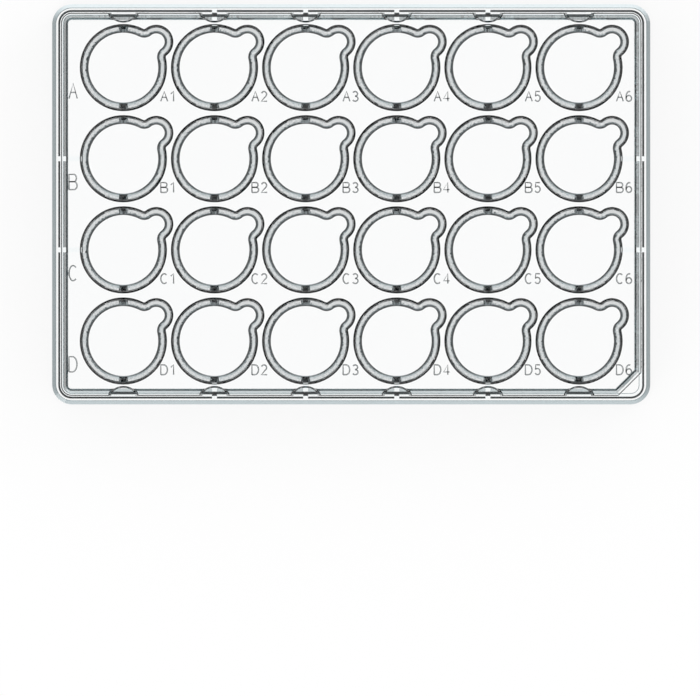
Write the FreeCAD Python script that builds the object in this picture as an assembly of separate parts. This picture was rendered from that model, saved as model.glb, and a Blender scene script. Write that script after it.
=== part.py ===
"""Twenty-four well plate, one clear moulding.

Each well is round with a small side port, so that a pipette can reach past a hanging insert. The wells stand
in a deck inside a raised rim. A skirt with a foot flange carries the whole plate. One corner of the rim is
cut off, so that a lid goes on one way round only.

Millimetres, +Z up. The origin is the middle of the footprint, on the plane the plate stands on. +X runs along
the columns 1 to 6 and +Y runs from row D to row A.

Every form is a stack of flat outlines at rising heights. A profile lists the stack: how far the outline is
moved inwards, and at which height.
"""

import FreeCAD
import Part

import math
import os

# Foot flange
FOOT_LENGTH = 127.76
FOOT_WIDTH = 85.48
FOOT_CORNER_RADIUS = 4.25
FOOT_HEIGHT = 2.41
FOOT_SLOPE_WIDTH = 0.85
FOOT_SLOPE_HEIGHT = 0.34
FOOT_RELIEF_DEPTH = 1.2

# Skirt, which stands this far in from the foot's edge on the short sides (X) and the long sides (Y)
SKIRT_STEP_X = 1.15
SKIRT_STEP_Y = 1.09
SKIRT_WALL = 1.15
SKIRT_CORNER_RADIUS = 3.0
SKIRT_DRAFT = 0.15
LEDGE_HEIGHT = 12.4
LEDGE_THICKNESS = 1.0
LEDGE_CHAMFER = 0.42
LEDGE_SLOPE_HEIGHT = 0.41

# Rim, which stands this far in from the skirt
RIM_STEP = 0.65
RIM_WALL = 1.55
RIM_KEY_CHAMFER = 4.95
RIM_DRAFT = 0.1
RIM_OUTER_CHAMFER = 0.2
RIM_INNER_CHAMFER = 0.38
PLATE_HEIGHT = 20.2

# Deck
DECK_HEIGHT = 18.2
DECK_THICKNESS = 1.5

# Wells
COLUMNS = 6
ROWS = 4
WELL_PITCH = 19.47
WELL_RADIUS = 9.32
WELL_LIP_HEIGHT = 19.2
WELL_LIP_WALL = 0.62
WELL_LIP_CHAMFER = 0.25
WELL_INSIDE_TAPER = 0.92
WELL_OUTSIDE_TAPER = 0.75
WELL_FLOOR_TOP = 2.6
WELL_FLOOR_THICKNESS = 1.2
WELL_FLOOR_SLOPE_WIDTH = 0.32
WELL_FLOOR_SLOPE_HEIGHT = 0.6
WELL_FOOT_CHAMFER = 0.95
PORT_RADIUS = 3.65
PORT_DISTANCE = 8.93
PORT_ANGLE = 38.1
PORT_BLEND_RADIUS = 0.4

# Centring ribs, two inside each well. The radius is the face's, from the well's axis
GUIDE_FACE_RADIUS = 7.6
GUIDE_FACE_WIDTH = 1.8
GUIDE_FACE_HEIGHT = 11.7
GUIDE_TOP_RADIUS = 8.25
GUIDE_TOP_WIDTH = 1.05
GUIDE_TOP_DROP = 3.0
GUIDE_LEAD_IN = 0.28
GUIDE_DRAFT = 0.06

# Tab notches in the long sides of the rim, one at each end of every column
NOTCH_HALF_LENGTH = 2.6
NOTCH_DEPTH_IN = 1.8
NOTCH_BELOW_DECK = 0.7
NOTCH_FLARE = 0.38
NOTCH_RAMP_LENGTH = 1.0
NOTCH_RAMP_DROP = 0.6

# Webs between the skirt and the outer wells
WEB_THICKNESS = 1.05
WEB_BOTTOM = 2.0

# Worked out from the sizes above
SKIRT_HALF_X = FOOT_LENGTH / 2 - SKIRT_STEP_X
SKIRT_HALF_Y = FOOT_WIDTH / 2 - SKIRT_STEP_Y
RIM_HALF_X = SKIRT_HALF_X - RIM_STEP
RIM_HALF_Y = SKIRT_HALF_Y - RIM_STEP
RIM_CORNER_RADIUS = SKIRT_CORNER_RADIUS - RIM_STEP
DECK_UNDERSIDE = DECK_HEIGHT - DECK_THICKNESS
LEDGE_UNDERSIDE = LEDGE_HEIGHT - LEDGE_THICKNESS
WELL_UNDERSIDE = WELL_FLOOR_TOP - WELL_FLOOR_THICKNESS
WELL_INSIDE_FOOT = WELL_LIP_WALL + WELL_INSIDE_TAPER


def point(x, y, z):
    return FreeCAD.Vector(x, y, z)


def on_circle(centre, radius, degrees, z):
    turn = math.radians(degrees)
    return point(centre[0] + radius * math.cos(turn), centre[1] + radius * math.sin(turn), z)


def arc(centre, radius, start, end, z):
    """An arc from the start angle to the end angle, in degrees."""
    places = [on_circle(centre, radius, angle, z) for angle in (start, (start + end) / 2, end)]
    return Part.Arc(*places).toShape()


def stack(outline, profile):
    """The solid through one outline at each inset and height of the profile."""
    return Part.makeLoft([outline(inset, z) for inset, z in profile], True, True)


def rectangle(half_x, half_y, radius, z, key_chamfer=None):
    """A rectangle with round corners. A key chamfer replaces the round corner at +X, -Y."""
    edges = []
    last = None
    for sign_x, sign_y, start in ((1, -1, 270), (1, 1, 0), (-1, 1, 90), (-1, -1, 180)):
        if key_chamfer and (sign_x, sign_y) == (1, -1):
            ends = (point(half_x - key_chamfer, -half_y, z), point(half_x, key_chamfer - half_y, z))
            corner = Part.makeLine(*ends)
        else:
            centre = (sign_x * (half_x - radius), sign_y * (half_y - radius))
            ends = (on_circle(centre, radius, start, z), on_circle(centre, radius, start + 90, z))
            corner = arc(centre, radius, start, start + 90, z)
        if edges:
            edges.append(Part.makeLine(last, ends[0]))
        else:
            first = ends[0]
        edges.append(corner)
        last = ends[1]
    edges.append(Part.makeLine(last, first))
    return Part.Wire(edges)


def foot_outline(inset, z):
    radius = FOOT_CORNER_RADIUS - inset
    return rectangle(FOOT_LENGTH / 2 - inset, FOOT_WIDTH / 2 - inset, radius, z)


def skirt_outline(inset, z):
    return rectangle(SKIRT_HALF_X - inset, SKIRT_HALF_Y - inset, SKIRT_CORNER_RADIUS - inset, z)


def rim_outline(inset, z):
    chamfer = RIM_KEY_CHAMFER - inset * (2 - math.sqrt(2))
    return rectangle(RIM_HALF_X - inset, RIM_HALF_Y - inset, RIM_CORNER_RADIUS - inset, z, chamfer)


def well_outline(inset, z):
    """The well's round wall, its side port and the blends between them, about the well's own axis."""
    to_blend = WELL_RADIUS + PORT_BLEND_RADIUS
    port_to_blend = PORT_RADIUS + PORT_BLEND_RADIUS
    spread = (PORT_DISTANCE**2 + to_blend**2 - port_to_blend**2) / (2 * PORT_DISTANCE * to_blend)
    blend_angle = math.degrees(math.acos(spread))
    blend = on_circle((0, 0), to_blend, blend_angle, z)
    port_angle = math.degrees(math.atan2(blend.y, blend.x - PORT_DISTANCE))
    blend_radius = PORT_BLEND_RADIUS + inset
    edges = [
        arc((0, 0), WELL_RADIUS - inset, blend_angle, 360 - blend_angle, z),
        arc((blend.x, -blend.y), blend_radius, 180 - blend_angle, 180 - port_angle, z),
        arc((PORT_DISTANCE, 0), PORT_RADIUS - inset, -port_angle, port_angle, z),
        arc((blend.x, blend.y), blend_radius, 180 + port_angle, 180 + blend_angle, z),
    ]
    outline = Part.Wire(edges)
    outline.rotate(point(0, 0, 0), point(0, 0, 1), PORT_ANGLE)
    return outline


def foot():
    """The foot flange, whose top slopes down to its edge."""
    slope = [(0, FOOT_HEIGHT - FOOT_SLOPE_HEIGHT), (FOOT_SLOPE_WIDTH, FOOT_HEIGHT)]
    return stack(foot_outline, [(0, 0)] + slope)


def skirt():
    edge = [(SKIRT_DRAFT, LEDGE_HEIGHT - LEDGE_CHAMFER), (SKIRT_DRAFT + LEDGE_CHAMFER, LEDGE_HEIGHT)]
    return stack(skirt_outline, [(0, 0)] + edge)


def rim():
    """The rim, with the tray in its top that the deck is the floor of."""
    outside = [
        (0, LEDGE_UNDERSIDE),
        (RIM_DRAFT, PLATE_HEIGHT - RIM_OUTER_CHAMFER),
        (RIM_DRAFT + RIM_OUTER_CHAMFER, PLATE_HEIGHT),
    ]
    inside = [
        (RIM_WALL + RIM_DRAFT, DECK_HEIGHT),
        (RIM_WALL, PLATE_HEIGHT - RIM_INNER_CHAMFER),
        (RIM_WALL - RIM_INNER_CHAMFER, PLATE_HEIGHT),
    ]
    return stack(rim_outline, outside).cut(stack(rim_outline, inside))


def hollows_below():
    """What is open from below: the step under the foot, the spaces in the skirt and the rim, and the slope that
    joins them. At the key corner the rim's wall stands alone, so the space outside it is open too."""
    relief = stack(skirt_outline, [(0, 0), (0, FOOT_RELIEF_DEPTH)])
    slope_start = LEDGE_UNDERSIDE - LEDGE_SLOPE_HEIGHT
    skirt_inside = SKIRT_WALL + SKIRT_DRAFT
    rim_inside = RIM_WALL + RIM_DRAFT
    in_skirt = stack(skirt_outline, [(SKIRT_WALL, 0), (skirt_inside, slope_start)])
    slope = stack(rim_outline, [(skirt_inside - RIM_STEP, slope_start), (rim_inside, LEDGE_UNDERSIDE)])
    in_rim = stack(rim_outline, [(RIM_WALL, 0), (rim_inside, DECK_UNDERSIDE)])
    below_slope = slope_start - LEDGE_THICKNESS
    key_space = stack(skirt_outline, [(skirt_inside, below_slope), (skirt_inside, LEDGE_UNDERSIDE)])
    key_space = key_space.cut(stack(rim_outline, [(0, below_slope), (0, LEDGE_HEIGHT)]))
    return [relief, in_skirt, slope, in_rim, key_space]


def well_form():
    """The outside of a well as a full solid."""
    profile = [
        (WELL_OUTSIDE_TAPER + WELL_FOOT_CHAMFER, WELL_UNDERSIDE),
        (WELL_OUTSIDE_TAPER, WELL_UNDERSIDE + WELL_FOOT_CHAMFER),
        (0, WELL_LIP_HEIGHT - WELL_LIP_CHAMFER),
        (WELL_LIP_CHAMFER, WELL_LIP_HEIGHT),
    ]
    return stack(well_outline, profile)


def well_cavity():
    """The inside of a well as a full solid."""
    profile = [
        (WELL_INSIDE_FOOT + WELL_FLOOR_SLOPE_WIDTH, WELL_FLOOR_TOP),
        (WELL_INSIDE_FOOT, WELL_FLOOR_TOP + WELL_FLOOR_SLOPE_HEIGHT),
        (WELL_LIP_WALL, WELL_LIP_HEIGHT - WELL_LIP_CHAMFER),
        (WELL_LIP_WALL - WELL_LIP_CHAMFER, WELL_LIP_HEIGHT),
    ]
    return stack(well_outline, profile)


def wall_middle(z):
    """How far the middle of the well's wall is from the well's axis at height z."""
    outside = WELL_RADIUS - WELL_OUTSIDE_TAPER * (WELL_LIP_HEIGHT - z) / (WELL_LIP_HEIGHT - WELL_UNDERSIDE)
    inside = WELL_RADIUS - WELL_LIP_WALL
    inside -= WELL_INSIDE_TAPER * (WELL_LIP_HEIGHT - z) / (WELL_LIP_HEIGHT - WELL_FLOOR_TOP)
    return (outside + inside) / 2


def guide(side):
    """One centring rib, at +Y or -Y of the well's axis. Its face rises upright from the floor, then leans back
    and narrows to a short lead-in below the lip."""
    top = WELL_LIP_HEIGHT - GUIDE_TOP_DROP
    levels = (
        (WELL_FLOOR_TOP - WELL_FLOOR_THICKNESS / 2, GUIDE_FACE_WIDTH, GUIDE_FACE_RADIUS),
        (GUIDE_FACE_HEIGHT, GUIDE_FACE_WIDTH, GUIDE_FACE_RADIUS),
        (top - GUIDE_LEAD_IN, GUIDE_TOP_WIDTH, GUIDE_TOP_RADIUS),
        (top, GUIDE_TOP_WIDTH, GUIDE_TOP_RADIUS + GUIDE_LEAD_IN),
    )
    outlines = []
    for z, width, face in levels:
        root = side * wall_middle(z)
        face_half = width / 2
        root_half = face_half + GUIDE_DRAFT
        corners = [point(-face_half, side * face, z), point(face_half, side * face, z)]
        corners += [point(root_half, root, z), point(-root_half, root, z)]
        outlines.append(Part.makePolygon(corners + corners[:1]))
    return Part.makeLoft(outlines, True, True)


def well_places():
    for row in range(ROWS):
        for column in range(COLUMNS):
            x = (column - (COLUMNS - 1) / 2) * WELL_PITCH
            y = ((ROWS - 1) / 2 - row) * WELL_PITCH
            yield column, row, point(x, y, 0)


def at_each_well(shape):
    placed = []
    for _, _, place in well_places():
        copy = shape.copy()
        copy.translate(place)
        placed.append(copy)
    return placed


def notch(place):
    """A half-oval cut in the rim and the deck's edge, a little wider upwards, with a ramp down to the outside."""
    side = math.copysign(1, place.y)
    floor = DECK_HEIGHT - NOTCH_BELOW_DECK
    levels = ((floor, 0), (DECK_HEIGHT, NOTCH_FLARE), (PLATE_HEIGHT + NOTCH_BELOW_DECK, 2 * NOTCH_FLARE))
    ovals = []
    for z, flare in levels:
        centre = point(place.x, side * RIM_HALF_Y, z)
        oval = Part.Ellipse(centre, NOTCH_HALF_LENGTH + flare, NOTCH_DEPTH_IN + flare)
        ovals.append(Part.Wire(oval.toShape()))
    high = side * (RIM_HALF_Y - NOTCH_RAMP_LENGTH)
    low = side * (RIM_HALF_Y + NOTCH_RAMP_LENGTH)
    drop = 2 * NOTCH_RAMP_DROP
    left = place.x - NOTCH_HALF_LENGTH
    corners = [point(left, y, z) for y, z in ((high, floor), (low, floor), (low, floor - drop))]
    ramp = Part.Face(Part.makePolygon(corners + corners[:1])).extrude(point(2 * NOTCH_HALF_LENGTH, 0, 0))
    return [Part.makeLoft(ovals, True, True), ramp.common(Part.Face(ovals[0]).extrude(point(0, 0, -drop)))]


def notches():
    """The notches at both ends of every column."""
    cuts = []
    for _, row, place in well_places():
        if row in (0, ROWS - 1):
            cuts += notch(place)
    return cuts


def web(place, along_x):
    """An upright web from the middle of an outer well to the skirt's face, on the side where the well stands."""
    half = WEB_THICKNESS / 2
    blocks = []
    for from_rim, top in ((SKIRT_WALL, DECK_HEIGHT - DECK_THICKNESS / 2), (0, LEDGE_HEIGHT)):
        height = top - WEB_BOTTOM
        if along_x:
            end = math.copysign(SKIRT_HALF_X - from_rim, place.x)
            low = point(min(place.x, end), place.y - half, WEB_BOTTOM)
            blocks.append(Part.makeBox(abs(end - place.x), WEB_THICKNESS, height, low))
        else:
            end = math.copysign(SKIRT_HALF_Y - from_rim, place.y)
            low = point(place.x - half, min(place.y, end), WEB_BOTTOM)
            blocks.append(Part.makeBox(WEB_THICKNESS, abs(end - place.y), height, low))
    return blocks


def webs():
    """The webs at the inner columns on the long sides, and at the inner rows on the short sides."""
    found = []
    for column, row, place in well_places():
        if row in (0, ROWS - 1) and 0 < column < COLUMNS - 1:
            found += web(place, along_x=False)
        if column in (0, COLUMNS - 1) and 0 < row < ROWS - 1:
            found += web(place, along_x=True)
    return found


def well_plate():
    body = foot().fuse([skirt(), rim()]).cut(hollows_below())
    body = body.fuse(webs() + at_each_well(well_form()))
    body = body.cut(notches() + at_each_well(well_cavity()))
    body = body.fuse(at_each_well(guide(1)) + at_each_well(guide(-1)))
    return body.Solids[0]


os.makedirs("parts", exist_ok=True)
well_plate().exportStep("parts/well_plate.step")
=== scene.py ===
"""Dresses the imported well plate: its clear polystyrene, the raised lettering, the studio and the camera.

The plate's own solid carries every shape. This script gives it a material, adds the well coordinates and row
letters as thin raised strokes on the deck, and sets the plate on a light table.
"""

import math

import bpy
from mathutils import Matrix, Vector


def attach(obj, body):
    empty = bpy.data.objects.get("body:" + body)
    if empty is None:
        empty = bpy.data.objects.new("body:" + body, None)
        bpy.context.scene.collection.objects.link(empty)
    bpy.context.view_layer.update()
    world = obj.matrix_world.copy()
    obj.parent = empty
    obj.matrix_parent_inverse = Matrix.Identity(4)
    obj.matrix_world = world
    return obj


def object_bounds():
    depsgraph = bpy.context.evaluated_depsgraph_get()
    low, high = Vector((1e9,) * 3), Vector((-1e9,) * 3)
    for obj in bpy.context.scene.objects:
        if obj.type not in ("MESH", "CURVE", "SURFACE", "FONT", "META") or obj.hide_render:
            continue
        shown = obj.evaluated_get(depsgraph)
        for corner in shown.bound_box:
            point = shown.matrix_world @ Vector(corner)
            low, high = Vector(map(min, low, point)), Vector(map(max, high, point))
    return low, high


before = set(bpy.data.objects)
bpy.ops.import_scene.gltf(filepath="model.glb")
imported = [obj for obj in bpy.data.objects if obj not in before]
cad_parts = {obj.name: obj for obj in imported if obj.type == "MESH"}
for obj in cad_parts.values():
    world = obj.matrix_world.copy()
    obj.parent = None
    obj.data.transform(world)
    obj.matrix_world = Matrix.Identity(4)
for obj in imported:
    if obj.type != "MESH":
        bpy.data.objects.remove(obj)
cad_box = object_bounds()

MM = 0.001

# The plate, as its solid has it
COLUMNS = 6
ROWS = 4
WELL_PITCH = 19.47 * MM
DECK_TOP = 18.2 * MM
WELL_OUTER_RADIUS = 9.4 * MM

# Lettering on the deck
STROKE_WIDTH = 0.28 * MM
STROKE_TOP_WIDTH = 0.04 * MM
STROKE_HEIGHT = 0.13 * MM
STROKE_SUNK = 0.01 * MM
STROKE_SIZES = {
    "Width": STROKE_WIDTH,
    "Top Width": STROKE_TOP_WIDTH,
    "Height": STROKE_HEIGHT,
    "Base Height": DECK_TOP - STROKE_SUNK,
}
LABEL_HEIGHT = 2.1 * MM
LABEL_WIDTH = 1.45 * MM
LABEL_ADVANCE = 2.0 * MM
LABEL_RIGHT_OF_WELL = 8.0 * MM
LABEL_BELOW_WELL = 7.2 * MM
ROW_LETTER_HEIGHT = 3.25 * MM
ROW_LETTER_WIDTH = 1.75 * MM
ROW_LETTER_FROM_EDGE = 3.6 * MM
ROW_LETTER_BELOW_ROW = 6.6 * MM

# Polystyrene
PLASTIC_IOR = 1.59
CLEAR = "ffffff"
# Painted shade: the dimmer, cooler glass colour for light mirrored inside the plastic, which draws the dark
# edges
PAINTED_EDGE_SHADE = "8e9c9f"
VOLUME_TINT = "d0ebf0"
VOLUME_DENSITY = 8.0

# Fine lines on the walls of the wells. The shift makes each well's lines its own. A face counts as a wall
# while its direction rises less than UPRIGHT.
WALL_LINES_AROUND = 190
WALL_LINE_LEAN = 0.011
# Painted shade: how much darker the glass colour is painted where a wall line is above zero
WALL_LINE_PAINTED_SHADE = 0.09
WALL_NOISE_LOW = 0.35
WALL_NOISE_HIGH = 0.65
WALL_NOISE_SHIFT = 100
UPRIGHT = 0.3

# Light table top
TABLE_SIZE = 3.0
TABLE_BELOW_PLATE = 0.2 * MM
TABLE_OWN_LIGHT = 0.85
TABLE_LIGHT = "ffffff"
TABLE_PAPER = "f2f2f2"

# Light from below, in degrees from straight down: a bright opening, a dark surround, then a pale room. An
# angle to the front or the back counts as this part of one, so the opening reaches further those ways.
OPENING_FADES_FROM = 10
OPENING_ENDS_AT = 15.6
OPENING_PART_TO_FRONT = 0.77
OPENING_PART_TO_BACK = 0.92
COOLER_FROM = 3
COOLEST_AT = 14
SURROUND_ENDS_AT = 45
ROOM_STARTS_AT = 62
SURROUND_LEVEL = 0.03
ROOM_LEVEL = 0.9
DAYLIGHT = "ffffff"
COOL_LIGHT = "e8f6fa"

# Light from above, by how steeply a direction rises
OVERHEAD_FROM = 0.6
OVERHEAD_FULL = 0.95

# Softboxes: place, width and power
SOFT_LIGHTS = {
    "key": ((-0.6, -0.7, 0.8), 0.5, 2.0),
    "fill": ((0.8, 0.5, 0.7), 0.6, 1.5),
}

# Camera: square on from above and without perspective
IMAGE_WIDTH = 149.54 * MM
AIM_X = -0.26 * MM
AIM_Y = -30.7 * MM
CAMERA_HEIGHT = 0.5
CAMERA_SEES_TO = 10

# How often light may bounce in the many thin walls
CLEAR_BOUNCES = 24
OTHER_BOUNCES = 16


# Node helpers


def node(tree, kind, inputs=(), **settings):
    """A new node with its settings, and with its inputs set to values or linked from sockets."""
    made = tree.nodes.new(kind)
    for name, value in settings.items():
        setattr(made, name, value)
    for name, value in dict(inputs).items():
        if isinstance(value, bpy.types.NodeSocket):
            tree.links.new(value, made.inputs[name])
        else:
            made.inputs[name].default_value = value
    return made


def maths(tree, operation, *values):
    """The result socket of a Math node."""
    return node(tree, "ShaderNodeMath", dict(enumerate(values)), operation=operation).outputs[0]


def vectors(tree, operation, *values, output=0):
    """A result socket of a Vector Math node."""
    made = node(tree, "ShaderNodeVectorMath", dict(enumerate(values)), operation=operation)
    return made.outputs[output]


def xyz(tree, vector):
    """The three parts of a vector, by name."""
    return node(tree, "ShaderNodeSeparateXYZ", {"Vector": vector}).outputs


def mixed_colour(tree, share, first, second):
    """Goes from the first hex colour to the second while share goes from zero to one."""
    inputs = {0: share, 6: linear(first), 7: linear(second)}
    return node(tree, "ShaderNodeMix", inputs, data_type="RGBA").outputs[2]


def ramp(tree, value, start, end, low, high):
    """Goes smoothly from low to high while value goes from start to end."""
    limits = {"From Min": start, "From Max": end, "To Min": low, "To Max": high}
    made = node(tree, "ShaderNodeMapRange", {"Value": value, **limits}, interpolation_type="SMOOTHSTEP")
    return made.outputs[0]


def linear(hex_colour):
    """An sRGB hex colour as the linear colour that a shader takes."""
    parts = [int(hex_colour[i : i + 2], 16) / 255 for i in (0, 2, 4)]
    return tuple(p / 12.92 if p <= 0.04045 else ((p + 0.055) / 1.055) ** 2.4 for p in parts) + (1.0,)


def new_material(name):
    """An empty material and its node tree."""
    material = bpy.data.materials.new(name)
    material.use_nodes = True
    material.node_tree.nodes.clear()
    return material, material.node_tree


# Materials


def from_well_centre(tree, place):
    """How far a spot lies from the middle of the well it belongs to, in plan."""
    parts = xyz(tree, place)
    away = {}
    for name, count in (("X", COLUMNS), ("Y", ROWS)):
        shifted = maths(tree, "ADD", parts[name], count * WELL_PITCH / 2)
        inside = maths(tree, "MODULO", shifted, WELL_PITCH)
        away[name] = maths(tree, "SUBTRACT", inside, WELL_PITCH / 2)
    return node(tree, "ShaderNodeCombineXYZ", away).outputs[0]


def noise_around(tree, place, arm):
    """Noise that changes around a well and from well to well, but not with the height."""
    centre = vectors(tree, "SUBTRACT", place, arm)
    shift = vectors(tree, "MULTIPLY", centre, (WALL_NOISE_SHIFT, WALL_NOISE_SHIFT, 0))
    spot = vectors(tree, "ADD", vectors(tree, "NORMALIZE", arm), shift)
    inputs = {"Vector": spot, "Scale": WALL_LINES_AROUND / math.tau, "Detail": 1.0}
    return node(tree, "ShaderNodeTexNoise", inputs).outputs["Fac"]


def wall_lines(tree):
    """The fine upright lines that the polished mould leaves on the round walls of the wells. The value goes
    from -1 to 1 across the lines, and is zero elsewhere. It leans the surface, and where it is above zero it
    also darkens the glass colour as painted shade."""
    place = node(tree, "ShaderNodeTexCoord").outputs["Object"]
    arm = from_well_centre(tree, place)
    line = ramp(tree, noise_around(tree, place, arm), WALL_NOISE_LOW, WALL_NOISE_HIGH, -1.0, 1.0)
    rise = xyz(tree, node(tree, "ShaderNodeNewGeometry").outputs["True Normal"])["Z"]
    upright = maths(tree, "LESS_THAN", maths(tree, "ABSOLUTE", rise), UPRIGHT)
    at_well = maths(tree, "LESS_THAN", vectors(tree, "LENGTH", arm, output="Value"), WELL_OUTER_RADIUS)
    return maths(tree, "MULTIPLY", line, maths(tree, "MULTIPLY", upright, at_well))


def leaning(tree, lines):
    """The surface's direction, where the wall leans a little more or less along a line than beside it."""
    lean = maths(tree, "MULTIPLY", lines, WALL_LINE_LEAN)
    push = node(tree, "ShaderNodeCombineXYZ", {"Z": lean}).outputs[0]
    straight = node(tree, "ShaderNodeNewGeometry").outputs["Normal"]
    return vectors(tree, "NORMALIZE", vectors(tree, "ADD", straight, push))


def clear_polystyrene():
    """Crystal-clear polystyrene. Each time light is mirrored inside it, its colour is painted dimmer and
    cooler, so light mirrored many times comes out darker:
    painted shade that draws the thin dark edges of a clear moulding."""
    material, tree = new_material("clear_polystyrene")
    inside = node(tree, "ShaderNodeNewGeometry").outputs["Backfacing"]
    mirrored = node(tree, "ShaderNodeFresnel", {"IOR": PLASTIC_IOR}).outputs[0]
    lines = wall_lines(tree)
    # Painted shade along the wall lines, where their value is above zero
    line_painted_shade = maths(tree, "MULTIPLY", maths(tree, "MAXIMUM", lines, 0.0), WALL_LINE_PAINTED_SHADE)
    # Painted shade: light mirrored inside the plastic is darkened by its Fresnel share, plus the painted
    # shade of the wall lines
    painted_shade = maths(tree, "MULTIPLY_ADD", inside, mirrored, line_painted_shade)
    colour = mixed_colour(tree, painted_shade, CLEAR, PAINTED_EDGE_SHADE)
    glass = {"Color": colour, "Roughness": 0.0, "IOR": PLASTIC_IOR, "Normal": leaning(tree, lines)}
    surface = node(tree, "ShaderNodeBsdfGlass", glass).outputs[0]
    absorbed = {"Color": linear(VOLUME_TINT), "Density": VOLUME_DENSITY}
    volume = node(tree, "ShaderNodeVolumeAbsorption", absorbed).outputs[0]
    node(tree, "ShaderNodeOutputMaterial", {"Surface": surface, "Volume": volume})
    return material


# Lettering


def arc_points(x, y, wide, high, start, end, steps=8):
    """Points along an oval arc around x, y, from the start to the end angle in degrees."""
    turns = [math.radians(start + (end - start) * i / steps) for i in range(steps + 1)]
    return [(x + wide * math.cos(turn), y + high * math.sin(turn)) for turn in turns]


def glyph(letter):
    """The strokes of a letter or digit in a box one wide and one high."""
    upper_bowl = arc_points(0.6, 0.76, 0.3, 0.24, 90, -90)
    lower_bowl = arc_points(0.62, 0.26, 0.36, 0.26, 90, -90)
    strokes = {
        "A": [[(0, 0), (0.5, 1), (1, 0)], [(0.2, 0.4), (0.8, 0.4)]],
        "B": [[(0, 0), (0, 1)] + upper_bowl + [(0, 0.52)], [(0, 0.52)] + lower_bowl + [(0, 0)]],
        "C": [arc_points(0.5, 0.5, 0.5, 0.5, 48, 312, 14)],
        "D": [[(0, 0), (0, 1)] + arc_points(0.42, 0.5, 0.55, 0.5, 90, -90, 12) + [(0, 0)]],
        "1": [[(0.1, 0.76), (0.5, 1), (0.5, 0)]],
        "2": [arc_points(0.4, 0.72, 0.38, 0.28, 160, -35) + [(0, 0), (0.85, 0)]],
        "3": [arc_points(0.4, 0.76, 0.36, 0.24, 150, -90), arc_points(0.4, 0.26, 0.42, 0.26, 90, -150)],
        "4": [[(0.62, 0), (0.62, 1), (0, 0.28), (0.86, 0.28)]],
        "5": [[(0.76, 1), (0.16, 1), (0.1, 0.56)] + arc_points(0.4, 0.32, 0.4, 0.32, 130, -150)],
        "6": [arc_points(0.5, 0.5, 0.46, 0.5, 70, 180) + arc_points(0.44, 0.3, 0.4, 0.3, 180, 540, 14)],
    }
    return strokes[letter]


def write(strokes, text, left, base, width, height, advance):
    """Adds the strokes of text to the list, in metres on the deck."""
    for place, letter in enumerate(text):
        for stroke in glyph(letter):
            start = left + place * advance
            strokes.append([(start + width * x, base + height * y) for x, y in stroke])


def all_strokes():
    """The row letters at the left edge, and the coordinate beside each well."""
    strokes = []
    edge = cad_box[0].x
    for row in range(ROWS):
        y = ((ROWS - 1) / 2 - row) * WELL_PITCH
        letter = "ABCD"[row]
        base = y - ROW_LETTER_BELOW_ROW
        left = edge + ROW_LETTER_FROM_EDGE
        write(strokes, letter, left, base, ROW_LETTER_WIDTH, ROW_LETTER_HEIGHT, 0)
        for column in range(COLUMNS):
            x = (column - (COLUMNS - 1) / 2) * WELL_PITCH
            place = (x + LABEL_RIGHT_OF_WELL, y - LABEL_BELOW_WELL)
            write(strokes, letter + str(column + 1), *place, LABEL_WIDTH, LABEL_HEIGHT, LABEL_ADVANCE)
    return strokes


def stroke_tree(material):
    """Sweeps a low ridge with sloped sides along every stroke, and sets it on the deck."""
    tree = bpy.data.node_groups.new("raised_strokes", "GeometryNodeTree")
    sockets = tree.interface
    sockets.new_socket("Geometry", in_out="INPUT", socket_type="NodeSocketGeometry")
    sizes = {}
    for name in STROKE_SIZES:
        sizes[name] = sockets.new_socket(name, in_out="INPUT", socket_type="NodeSocketFloat").identifier
    sockets.new_socket("Geometry", in_out="OUTPUT", socket_type="NodeSocketGeometry")
    given = node(tree, "NodeGroupInput").outputs
    section = {name: given[name] for name in ("Top Width", "Height")}
    section.update({"Bottom Width": given["Width"], "Offset": 0.0})
    ridge = node(tree, "GeometryNodeCurvePrimitiveQuadrilateral", section, mode="TRAPEZOID").outputs[0]
    sweep = {"Curve": given["Geometry"], "Profile Curve": ridge, "Fill Caps": True}
    swept = node(tree, "GeometryNodeCurveToMesh", sweep).outputs[0]
    middle = maths(tree, "MULTIPLY_ADD", given["Height"], 0.5, given["Base Height"])
    lift = node(tree, "ShaderNodeCombineXYZ", {"Z": middle}).outputs[0]
    placed = node(tree, "GeometryNodeTransform", {"Geometry": swept, "Translation": lift}).outputs[0]
    real = node(tree, "GeometryNodeRealizeInstances", {"Geometry": placed}).outputs[0]
    done = node(tree, "GeometryNodeSetMaterial", {"Geometry": real, "Material": material}).outputs[0]
    node(tree, "NodeGroupOutput", {0: done})
    return tree, sizes


def stroke_curves():
    """An object with one open curve for each stroke."""
    curve = bpy.data.curves.new("strokes", "CURVE")
    curve.dimensions = "3D"
    for stroke in all_strokes():
        spline = curve.splines.new("POLY")
        spline.points.add(len(stroke) - 1)
        for spot, (x, y) in zip(spline.points, stroke):
            spot.co = (x, y, 0, 1)
    source = bpy.data.objects.new("strokes", curve)
    bpy.context.scene.collection.objects.link(source)
    return source


def lettering(material):
    """The well coordinates and the row letters, one mesh."""
    source = stroke_curves()
    tree, sizes = stroke_tree(material)
    modifier = source.modifiers.new("strokes", "NODES")
    modifier.node_group = tree
    for name, value in STROKE_SIZES.items():
        modifier[sizes[name]] = value
    ready = source.evaluated_get(bpy.context.evaluated_depsgraph_get())
    shape = bpy.data.meshes.new_from_object(ready)
    shape.name = "lettering"
    bpy.data.objects.remove(source)
    piece = bpy.data.objects.new("lettering", shape)
    bpy.context.scene.collection.objects.link(piece)
    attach(piece, "root")


# Studio


def ray_is(tree, *kinds):
    """One for rays of these kinds and zero for others."""
    kinds_of_ray = node(tree, "ShaderNodeLightPath").outputs
    result = kinds_of_ray[kinds[0]]
    for kind in kinds[1:]:
        result = maths(tree, "MAXIMUM", result, kinds_of_ray[kind])
    return result


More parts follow.
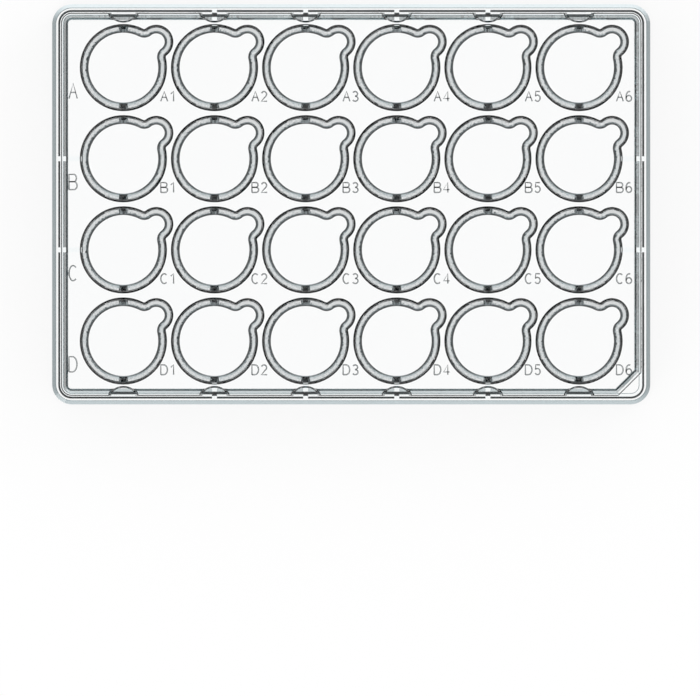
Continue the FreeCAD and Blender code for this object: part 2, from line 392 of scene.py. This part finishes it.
def white_table():
    """White paper that shines by itself where the camera or a mirrored ray meets it. Light from below comes
    through it to the plate."""
    material, tree = new_material("white_table")
    white = node(tree, "ShaderNodeEmission", {"Color": linear(TABLE_LIGHT), "Strength": 1.0}).outputs[0]
    paper = node(tree, "ShaderNodeBsdfDiffuse", {"Color": linear(TABLE_PAPER)}).outputs[0]
    open_to_light = node(tree, "ShaderNodeBsdfTransparent").outputs[0]
    own = maths(tree, "MULTIPLY", ray_is(tree, "Is Camera Ray", "Is Glossy Ray"), TABLE_OWN_LIGHT)
    top = node(tree, "ShaderNodeMixShader", {0: own, 1: paper, 2: white}).outputs[0]
    through = ray_is(tree, "Is Transmission Ray")
    surface = node(tree, "ShaderNodeMixShader", {0: through, 1: top, 2: open_to_light}).outputs[0]
    node(tree, "ShaderNodeOutputMaterial", {"Surface": surface})
    return material


def light_table():
    """The white table top, which shows white and keeps a faint shadow of the plate."""
    half = TABLE_SIZE / 2
    level = -TABLE_BELOW_PLATE
    shape = bpy.data.meshes.new("table")
    corners = [(-half, -half, level), (half, -half, level), (half, half, level), (-half, half, level)]
    shape.from_pydata(corners, [], [(0, 1, 2, 3)])
    shape.materials.append(white_table())
    table = bpy.data.objects.new("table", shape)
    bpy.context.scene.collection.objects.link(table)


def away_from_down(tree, parts):
    """How far a direction leans from straight down, as the sine of an angle. To the front and to the back
    it counts for less."""
    to_front = maths(tree, "MULTIPLY", parts["Y"], -OPENING_PART_TO_FRONT)
    to_back = maths(tree, "MULTIPLY", parts["Y"], OPENING_PART_TO_BACK)
    in_depth = maths(tree, "MAXIMUM", to_back, to_front)
    level = node(tree, "ShaderNodeCombineXYZ", {"X": parts["X"], "Y": in_depth}).outputs[0]
    return vectors(tree, "LENGTH", level, output="Value")


def sine_ramp(tree, value, start, end, low, high):
    """A ramp over the sine of an angle, between two angles in degrees."""
    return ramp(tree, value, math.sin(math.radians(start)), math.sin(math.radians(end)), low, high)


def surroundings():
    """White all round. For light that comes through or off the plate, the table shines mostly straight up,
    with a dark surround beside its opening and a pale room beyond. Slanting light is a little cooler."""
    world = bpy.data.worlds.new("studio")
    bpy.context.scene.world = world
    world.use_nodes = True
    tree = world.node_tree
    tree.nodes.clear()
    parts = xyz(tree, node(tree, "ShaderNodeTexCoord").outputs["Generated"])
    up = parts["Z"]
    down = maths(tree, "MULTIPLY", up, -1.0)
    away = away_from_down(tree, parts)
    edge = sine_ramp(tree, away, OPENING_FADES_FROM, OPENING_ENDS_AT, 1.0, 0.0)
    opening = maths(tree, "MULTIPLY", edge, maths(tree, "GREATER_THAN", down, 0.0))
    room_side = math.cos(math.radians(ROOM_STARTS_AT))
    surround_side = math.cos(math.radians(SURROUND_ENDS_AT))
    beyond = ramp(tree, down, room_side, surround_side, 1.0, 0.0)
    room = maths(tree, "MULTIPLY_ADD", beyond, ROOM_LEVEL - SURROUND_LEVEL, SURROUND_LEVEL)
    overhead = ramp(tree, up, OVERHEAD_FROM, OVERHEAD_FULL, 0.0, 1.0)
    shown = maths(tree, "MAXIMUM", maths(tree, "MAXIMUM", opening, room), overhead)
    strength = maths(tree, "MAXIMUM", shown, ray_is(tree, "Is Camera Ray", "Is Diffuse Ray"))
    slant = sine_ramp(tree, away, COOLER_FROM, COOLEST_AT, 0.0, 1.0)
    near = maths(tree, "MULTIPLY", slant, maths(tree, "SUBTRACT", 1.0, beyond))
    cool = maths(tree, "MULTIPLY", near, ray_is(tree, "Is Transmission Ray", "Is Glossy Ray"))
    tint = mixed_colour(tree, cool, DAYLIGHT, COOL_LIGHT)
    light = node(tree, "ShaderNodeBackground", {"Color": tint, "Strength": strength}).outputs[0]
    node(tree, "ShaderNodeOutputWorld", {"Surface": light})


def soft_light(name, place, width, power):
    """A square softbox that faces the plate."""
    lamp = bpy.data.lights.new(name, "AREA")
    lamp.size = width
    lamp.energy = power
    holder = bpy.data.objects.new(name, lamp)
    holder.location = place
    pan = math.atan2(place[0], -place[1])
    tilt = math.atan2(math.hypot(place[0], place[1]), place[2])
    holder.rotation_euler = (tilt, 0, pan)
    bpy.context.scene.collection.objects.link(holder)


def camera():
    """Square on from above, with parallel rays."""
    lens = bpy.data.cameras.new("camera")
    lens.type = "ORTHO"
    lens.ortho_scale = IMAGE_WIDTH
    lens.clip_end = CAMERA_SEES_TO
    holder = bpy.data.objects.new("camera", lens)
    holder.location = (AIM_X, AIM_Y, CAMERA_HEIGHT)
    bpy.context.scene.collection.objects.link(holder)
    bpy.context.scene.camera = holder


def render_settings():
    """Light goes through many thin walls here, so it may bounce more often than usual."""
    scene = bpy.context.scene
    scene.view_settings.view_transform = "Standard"
    scene.cycles.max_bounces = CLEAR_BOUNCES
    scene.cycles.transmission_bounces = CLEAR_BOUNCES
    scene.cycles.glossy_bounces = OTHER_BOUNCES
    scene.cycles.transparent_max_bounces = OTHER_BOUNCES


camera()
render_settings()
light_table()
surroundings()
for lamp_name, lamp_setting in SOFT_LIGHTS.items():
    soft_light(lamp_name, *lamp_setting)

plastic = clear_polystyrene()
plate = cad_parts["well_plate"]
for place in plate.material_slots:
    place.material = plastic
lettering(plastic)
